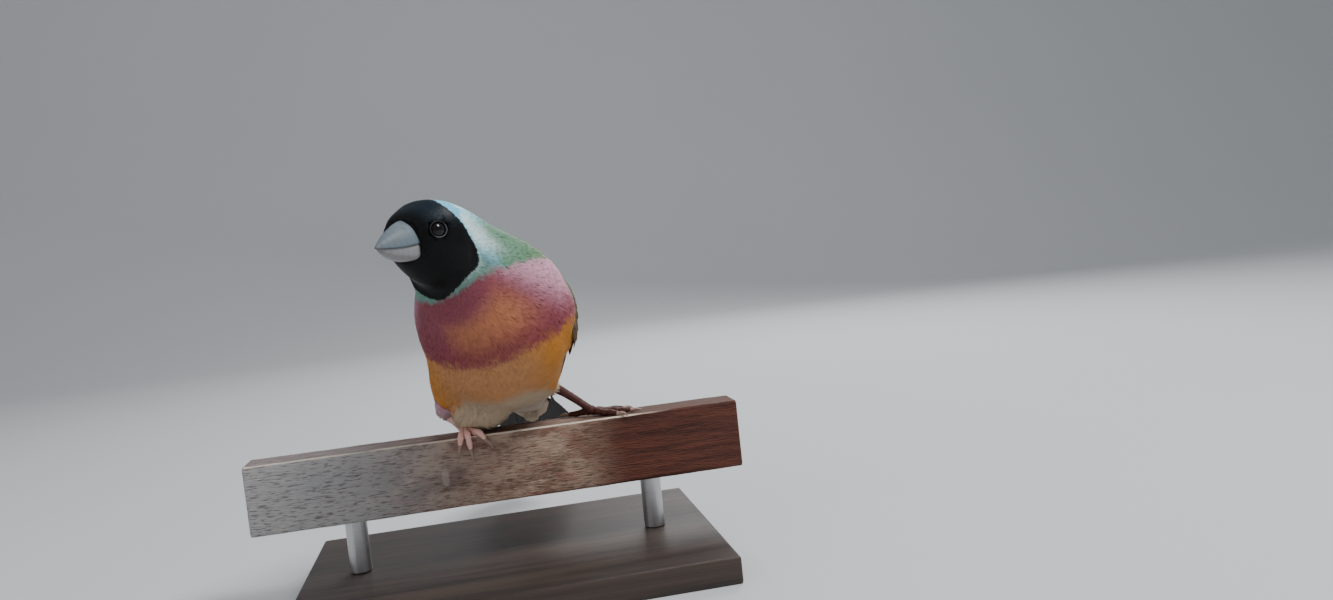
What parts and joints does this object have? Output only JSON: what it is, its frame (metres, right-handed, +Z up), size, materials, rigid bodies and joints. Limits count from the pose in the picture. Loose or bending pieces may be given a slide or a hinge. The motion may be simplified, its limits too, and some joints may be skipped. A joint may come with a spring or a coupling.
{
  "type": "gouldian finch",
  "caption": "Life-size still model of a black-headed gouldian finch crouched on a short cut length of flat wooden bar, which a plain display stand holds up.",
  "frame": {"origin": "centre of the stand's underside", "axes": "+Z up; the bird faces -Y and its tail points to +Y; the perch runs along X"},
  "size_m": [0.115, 0.122, 0.0888],
  "materials": {
    "mask_feathers": "velvety black feathers with a faint blue-grey gloss on the crown",
    "collar_feathers": "soft pale turquoise feathers, almost white behind the cheek, green below",
    "body_feathers": "fine downy feathers, purple breast over an orange-yellow belly, cream vent, green back",
    "wing_feathers": "satin olive-green coverts over brown-black flight feathers",
    "tail_feathers": "satin black vanes",
    "thigh_feathers": "short soft yellow-orange feathers",
    "leg_skin": "matt pinkish-grey scaled skin",
    "bill_horn": "satin blue-grey horn, paler and pinker below",
    "eye": "wet dark brown, almost black",
    "perch_wood": "worn bare grey-brown wood",
    "stand_wood": "satin dark stained wood",
    "stand_metal": "brushed steel"
  },
  "bodies": {
    "root": {"head": "mask_feathers", "neck": "collar_feathers", "torso": "body_feathers", "wing_left": "wing_feathers", "wing_right": "wing_feathers", "tail": "tail_feathers", "thigh_left": "thigh_feathers", "thigh_right": "thigh_feathers", "leg_left": "leg_skin", "leg_right": "leg_skin", "foot_left": "leg_skin", "foot_right": "leg_skin", "bill_upper": "bill_horn", "bill_lower": "bill_horn", "eye_left": "eye", "eye_right": "eye", "perch": "perch_wood", "stand_base": "stand_wood", "stand_rod_left": "stand_metal", "stand_rod_right": "stand_metal"}
  },
  "joints": []
}
